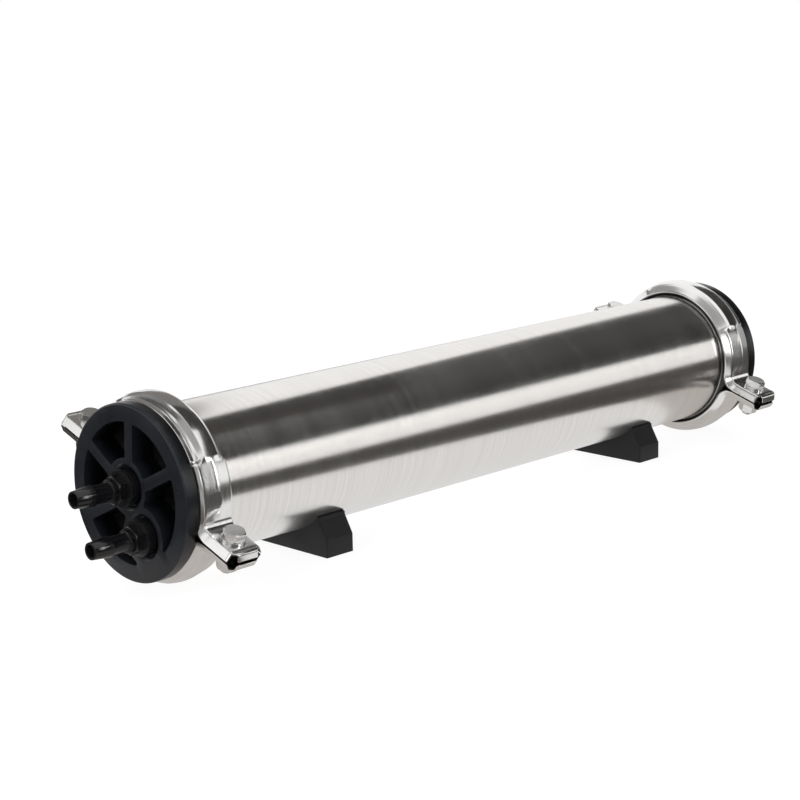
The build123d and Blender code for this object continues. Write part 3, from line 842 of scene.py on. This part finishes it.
def eased_copy(node, material, width, segments):
    """Copy of a CAD node with merged points and rounded edges, in its own material."""
    name = node + "_moulding"
    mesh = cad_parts[node].data.copy()
    mesh.name = name
    piece = placed(name, mesh)
    welded = piece.modifiers.new("weld", "WELD")
    welded.merge_threshold = WELD_GAP
    rounded = piece.modifiers.new("round", "BEVEL")
    rounded.width = width
    rounded.segments = segments
    rounded.limit_method = "ANGLE"
    rounded.angle_limit = np.radians(40.0)
    graph = bpy.context.evaluated_depsgraph_get()
    solid = bpy.data.meshes.new_from_object(piece.evaluated_get(graph))
    piece.modifiers.clear()
    solid.name = name
    piece.data = solid
    solid.materials.clear()
    solid.materials.append(material)
    solid.polygons.foreach_set("use_smooth", np.ones(len(solid.polygons), dtype=bool))
    sharpen(piece, 32.0)
    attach(piece, "root")
    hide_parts(node)


class VESSEL_OT_caps(bpy.types.Operator):
    """Mould the two ribbed end caps"""

    bl_idname = "vessel.caps"
    bl_label = "End caps"

    def execute(self, context):
        settings = context.scene.vessel
        face, black = settings.fitting.face, settings.finish.cap_black
        # the cap's pockets get painted shade that darkens towards their floors
        recess = (face - RECESS_FLOOR, face - RECESS_MOUTH)
        material = finished("cap_plastic_black", plastic_looks, black, 0.3, 900.0, 0.0002, recess=recess)
        for _, end in ENDS:
            eased_copy(end + "_cap", material, width=0.0006, segments=3)
        return {"FINISHED"}


class VESSEL_OT_feet(bpy.types.Operator):
    """Mould the two saddle feet"""

    bl_idname = "vessel.feet"
    bl_label = "Saddle feet"

    def execute(self, context):
        black = context.scene.vessel.finish.foot_black
        material = finished("foot_plastic_black", plastic_looks, black, 0.5, 700.0, 0.0002, gloss=0.3)
        for _, end in ENDS:
            eased_copy(end + "_foot", material, width=0.0004, segments=2)
        return {"FINISHED"}


# Fittings and seals


def port_centres(side):
    """Places (y, z) of the centre and side port of one end, read from the CAD fittings."""
    end = dict(ENDS)[side]
    centres = []
    for port in ("centre", "side"):
        low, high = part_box(end + "_" + port + "_fitting")
        centres.append(((low[1] + high[1]) / 2, (low[2] + high[2]) / 2))
    return centres


def fitting_surface(size, side, centre, segments=144):
    """Hose fitting: a turned profile whose radius in the hexagon's stretch is cut to a hexagon.

    At station s and angle t the radius is the profile's, and between the
    flange and the hexagon's front it is the smaller of the bevelled corner
    radius and the hexagon's.
    """
    back, flats = -size.seat - size.thread, size.across_flats
    outline = [
        (back, size.bore),
        (back, size.thread_radius),
        (-size.seat, size.thread_radius),
        (-size.seat, size.flange_radius),
        (size.flange_front, size.flange_radius),
        (size.flange_front, flats / np.sqrt(3)),
        (size.hexagon_front - HEXAGON_BEVEL, flats / np.sqrt(3)),
        (size.hexagon_front, flats / 2),
        (size.hexagon_front, size.neck_radius),
        (size.collar_start, size.neck_radius),
        (size.collar_start, size.collar_radius),
        (size.collar_front, size.collar_radius),
        (size.collar_front, size.stem_radius),
        (size.ridge_start, size.stem_radius),
        (size.ridge_start, size.ridge_radius),
        (size.front, size.mouth_radius),
        (size.front, size.bore),
    ]
    s, r = corner_arcs(outline, FITTING_EDGE, steps=4).T
    angle = np.linspace(0.0, 2 * np.pi, segments, endpoint=False)
    in_hexagon = (s > size.flange_front - TINY) & (s < size.hexagon_front + TINY)
    cut = np.where(in_hexagon[:, None], hexagon_radius(angle, flats), np.inf)
    radii = np.minimum(r[:, None], cut)
    return outward(turned(size.face + s, radii, centre, side), grid_quads(*radii.shape, True, True))


class VESSEL_OT_fittings(bpy.types.Operator):
    """Turn the four hose fittings"""

    bl_idname = "vessel.fittings"
    bl_label = "Hose fittings"

    def execute(self, context):
        settings = context.scene.vessel
        black = settings.finish.fitting_black
        material = finished("fitting_plastic_black", plastic_looks, black, 0.13, 500.0, 0.00005)
        for side, end in ENDS:
            for port, centre in zip(("centre", "side"), port_centres(side)):
                vertices, quads = fitting_surface(settings.fitting, side, centre)
                node = end + "_" + port + "_fitting"
                piece = smooth_mesh(node + "_moulding", vertices, quads, material, "fitting_plastic", node)
                sharpen(piece, 40.0)
        return {"FINISHED"}


class VESSEL_OT_inside(bpy.types.Operator):
    """Finish the gaskets, seals and membrane element"""

    bl_idname = "vessel.inside"
    bl_label = "Seals and membrane element"

    def execute(self, context):
        finish = context.scene.vessel.finish
        black, white = finish.rubber_black, finish.element_white
        rubber = finished("seal_rubber_black", plastic_looks, black, 0.6, 1200.0, 0.0001)
        plastic = finished("element_plastic_white", plastic_looks, white, 0.35, 600.0, 0.0001, mottle=0.05)
        for _, end in ENDS:
            dress(rubber, end + "_fitting_gaskets", end + "_head_seals", end + "_core_seals")
            dress(plastic, end + "_end_device")
        dress(rubber, "brine_seal")
        dress(plastic, "core_tube")
        dress(finished("glass_tape_wrap", wrap_looks, finish.wrap_white), "membrane_roll")
        return {"FINISHED"}


# Studio

# heights and reach of the cards, in metres
CEILING = 1.1
FLAG_LEVEL = 0.186
FAR = 8.0
# colours of light
WARM = (1.0, 0.95, 0.91, 1.0)
PLAIN = (1.0, 1.0, 1.0, 1.0)
# strength and share of the floor's glow, which make it as white as the backdrop
FLOOR_GLOW, FLOOR_SHARE = 1.13, 0.8


def at_level(points, z):
    """Points (x, y) at a height."""
    return [(x, y, z) for x, y in points]


def rectangle(x_range, y_range, z):
    """Corners of a level rectangle."""
    (left, right), (front, back) = x_range, y_range
    return at_level([(left, front), (right, front), (right, back), (left, back)], z)


def upright(start, end, low, high):
    """Corners of an upright rectangle over the line from start to end."""
    return [(*start, low), (*end, low), (*end, high), (*start, high)]


def bare_tree(block):
    """The emptied node tree of a material or world."""
    block.use_nodes = True
    block.node_tree.nodes.clear()
    return block.node_tree


def flat_mesh(name, corners):
    """A mesh of one face."""
    mesh = bpy.data.meshes.new(name)
    mesh.from_pydata(corners, [], [tuple(range(len(corners)))])
    return mesh


def card(name, corners, colour, strength):
    """A flat card of the studio that only gloss sees, with one strength or one at each corner."""
    mesh = flat_mesh(name, corners)
    levels = np.full(len(corners), strength, dtype=np.float32)
    mesh.attributes.new("level", "FLOAT", "POINT").data.foreach_set("value", levels)
    material = bpy.data.materials.new(name)
    tree = bare_tree(material)
    level = add(tree, "ShaderNodeAttribute", out="Fac", attribute_name="level")
    glow = add(tree, "ShaderNodeEmission", {"Color": colour, "Strength": level})
    wire(tree.nodes.new("ShaderNodeOutputMaterial"), {"Surface": glow})
    mesh.materials.append(material)
    piece = placed(name, mesh)
    piece.visible_camera = False
    piece.visible_diffuse = False
    piece.visible_shadow = False
    piece.visible_volume_scatter = False


def hang_cards():
    """Cards placed so that the steel shows the light and dark bands of the photo."""
    front_floor = [(-0.225, -0.21225), (-0.225, -6.0), (6.0, -6.0), (6.0, -0.06), (0.42, -0.0768)]
    end_floor = [(-0.36, -0.1), (-0.36, 1.6), (-3.0, 2.6), (-3.0, -0.1)]
    ceiling = [(0.45, -1.78), (3.2, -1.78), (3.2, 0.9), (1.75, 0.7), (1.2, 0.56), (0.72, 0.31), (0.45, 0.2)]
    back_ceiling = [(-1.0, 0.3), (-0.15, 0.3), (0.55, 1.35), (0.9, 2.2), (-1.0, 2.2)]
    top_flag = [(-0.27, 0.0), (-0.19, 0.0), (-0.104, 0.17), (-0.104, 0.25), (-0.27, 0.25)]
    barb_window = [(0.74, -2.01, 1.32), (0.54, -2.09, 1.36), (0.54, -2.45, 0.24), (0.74, -2.37, 0.22)]
    shade, flag = (-0.12, 0.05), (-0.07, 0.0)
    cards = {
        "ceiling": (at_level(ceiling, CEILING), WARM, (0.0, 0.0, 0.02, 0.03, 0.05, 0.06, 0.06)),
        "front_floor": (at_level(front_floor, 0.0), WARM, 0.06),
        "near_floor": (rectangle((-3.0, -0.225), (-0.13, -6.0), 0.0), WARM, 0.08),
        "end_floor": (at_level(end_floor, 0.0), WARM, 0.1),
        "front_wall": (upright((5.5, -FAR), (-FAR, -FAR), 0.0, 5.6), WARM, 0.06),
        "floor_sheen": (rectangle((-FAR, FAR), (-FAR, FAR), -0.0001), PLAIN, 0.8),
        "left_ceiling": (rectangle((-1.3, -0.1), (-1.1, 0.05), CEILING), PLAIN, 0.36),
        "left_wall": (upright((-5.0, 0.3), (-5.0, -6.0), 0.0, 3.2), PLAIN, 0.3),
        "left_window": (upright((-4.8, -1.0), (-4.8, -3.6), 0.1, 1.2), PLAIN, 2.5),
        "front_window": (upright((2.25, -4.3), (2.0, -4.42), 1.45, 1.9), PLAIN, 11.0),
        "back_ceiling": (at_level(back_ceiling, CEILING), PLAIN, (0.2, 0.2, 0.3, 0.4, 0.3)),
        "near_shade": (rectangle((-0.36, -0.236), shade, 0.0), WARM, 0.5),
        "far_shade": (rectangle((0.24, 0.36), shade, 0.0), WARM, 0.5),
        "right_wall": (upright((FAR, -3.4), (FAR, 1.5), 0.0, 2.0), PLAIN, 0.35),
        "near_flag": (rectangle((-0.26, -0.05), flag, FLAG_LEVEL), WARM, 0.05),
        "near_top_flag": (at_level(top_flag, FLAG_LEVEL), WARM, 0.2),
        "barb_window": (barb_window, PLAIN, 8.0),
        "far_flag": (rectangle((0.3, 0.52), flag, FLAG_LEVEL), WARM, 0.05),
    }
    for name, (corners, colour, strength) in cards.items():
        card(name + "_card", corners, colour, strength)
        # three of the floor's cards stand again behind the vessel, turned half round
        if name in ("front_floor", "near_floor", "end_floor"):
            card(name + "_card_behind", [(-x, -y, z) for x, y, z in corners], colour, strength)
    back = [(-0.45, 1.6), (-1.75, 1.6), (-1.75, 1.15), (-1.25, 0.8), (-0.9, 0.8), (-0.9, 0.0), (-0.45, -0.1)]
    levels = (0.02, 0.02, 0.03, 0.04, 0.04, 0.06, 0.06)
    card("ceiling_card_behind", at_level(back, CEILING), WARM, levels)


def seen_white(tree, output, share, dull, white):
    """Show a share of the white shader to camera, gloss and clear rays, and the dull one to the rest.

    The kind of the output node is that of a world or a material.
    """
    path = add(tree, "ShaderNodeLightPath").node.outputs
    seen = path["Is Camera Ray"]
    for kind in ("Is Glossy Ray", "Is Transmission Ray"):
        seen = add(tree, "ShaderNodeMath", {0: seen, 1: path[kind]}, operation="MAXIMUM")
    amount = add(tree, "ShaderNodeMath", {0: seen, 1: share}, operation="MULTIPLY")
    mix = add(tree, "ShaderNodeMixShader", {0: amount, 1: dull, 2: white})
    wire(tree.nodes.new(output), {"Surface": mix})


def light_world(studio):
    """World that gives matt surfaces an even light and is white for the rest."""
    world = bpy.data.worlds.new("studio_light")
    bpy.context.scene.world = world
    tree = bare_tree(world)
    even = add(tree, "ShaderNodeBackground", {"Color": PLAIN, "Strength": studio.ambient})
    white = add(tree, "ShaderNodeBackground", {"Color": PLAIN, "Strength": studio.backdrop})
    seen_white(tree, "ShaderNodeOutputWorld", 1.0, even, white)


def lay_floor(studio):
    """Matt floor that looks as white as the backdrop and takes a faint shadow."""
    mesh = flat_mesh("floor", rectangle((-FAR, FAR), (-FAR, FAR), -0.0002))
    paint = bpy.data.materials.new("floor_white")
    tree = bare_tree(paint)
    matt = add(tree, "ShaderNodeBsdfDiffuse", {"Color": (0.9, 0.9, 0.9, 1.0)})
    glow = add(tree, "ShaderNodeEmission", {"Strength": studio.backdrop * FLOOR_GLOW})
    seen_white(tree, "ShaderNodeOutputMaterial", FLOOR_SHARE, matt, glow)
    mesh.materials.append(paint)
    floor = placed("floor", mesh)


def hang_softboxes(studio):
    """Two soft lights that no camera ray or gloss sees."""
    for name, place, target, size, share in (
        ("back_softbox", (0.6, 2.2, 1.6), (0.0, 0.0, 0.06), 1.6, 3),
        ("left_softbox", (-2.2, -0.4, 1.1), (-0.2, 0.0, 0.06), 1.2, 2),
    ):
        lamp = bpy.data.lights.new(name, "AREA")
        lamp.shape = "SQUARE"
        lamp.size = size
        lamp.energy = studio.key_power * share
        holder = placed(name, lamp)
        holder.location = place
        holder.rotation_euler = (Vector(target) - holder.location).to_track_quat("-Z", "Y").to_euler()
        holder.visible_camera = False
        holder.visible_glossy = False


def set_camera(studio):
    """Camera where the photo's stood."""
    lens = bpy.data.cameras.new("camera")
    lens.lens = studio.lens
    lens.sensor_width = 36.0
    lens.clip_end = 50.0
    camera = placed("camera", lens)
    az, el, roll = studio.azimuth, studio.elevation, studio.roll
    look = Vector((np.cos(el) * np.cos(az), np.cos(el) * np.sin(az), -np.sin(el)))
    right = Vector((look.y, -look.x, 0.0)).normalized()
    up = right.cross(look)
    tilted_right = right * np.cos(roll) + up * np.sin(roll)
    tilted_up = up * np.cos(roll) - right * np.sin(roll)
    camera.location = studio.camera_place
    camera.rotation_euler = Matrix((tilted_right, tilted_up, -look)).transposed().to_euler()
    bpy.context.scene.camera = camera


class VESSEL_OT_studio(bpy.types.Operator):
    """Set the floor, the cards, the light and the camera"""

    bl_idname = "vessel.studio"
    bl_label = "Studio"

    def execute(self, context):
        studio = context.scene.vessel.studio
        light_world(studio)
        lay_floor(studio)
        hang_cards()
        hang_softboxes(studio)
        set_camera(studio)
        context.scene.view_settings.view_transform = "Standard"
        return {"FINISHED"}


class VESSEL_PT_panel(bpy.types.Panel):
    """Sidebar panel with the pieces of the vessel."""

    bl_label = "Pressure vessel"
    bl_idname = "VESSEL_PT_panel"
    bl_space_type = "VIEW_3D"
    bl_region_type = "UI"
    bl_category = "Vessel"

    def draw(self, context):
        for kind in OPERATORS:
            self.layout.operator(kind.bl_idname)


OPERATORS = (
    VESSEL_OT_tube,
    VESSEL_OT_clamps,
    VESSEL_OT_fasteners,
    VESSEL_OT_caps,
    VESSEL_OT_feet,
    VESSEL_OT_fittings,
    VESSEL_OT_inside,
    VESSEL_OT_studio,
)

CLASSES = (
    TubeSizes,
    ClampSizes,
    FastenerSizes,
    FittingSizes,
    Finishes,
    Studio,
    VesselSettings,
    *OPERATORS,
    VESSEL_PT_panel,
)


def register():
    for kind in CLASSES:
        bpy.utils.register_class(kind)
    bpy.types.Scene.vessel = PointerProperty(type=VesselSettings)


def unregister():
    del bpy.types.Scene.vessel
    for kind in reversed(CLASSES):
        bpy.utils.unregister_class(kind)


def main():
    register()
    bpy.ops.vessel.tube()
    bpy.ops.vessel.clamps()
    bpy.ops.vessel.fasteners()
    bpy.ops.vessel.caps()
    bpy.ops.vessel.feet()
    bpy.ops.vessel.fittings()
    bpy.ops.vessel.inside()
    bpy.ops.vessel.studio()


if __name__ == "__main__":
    main()
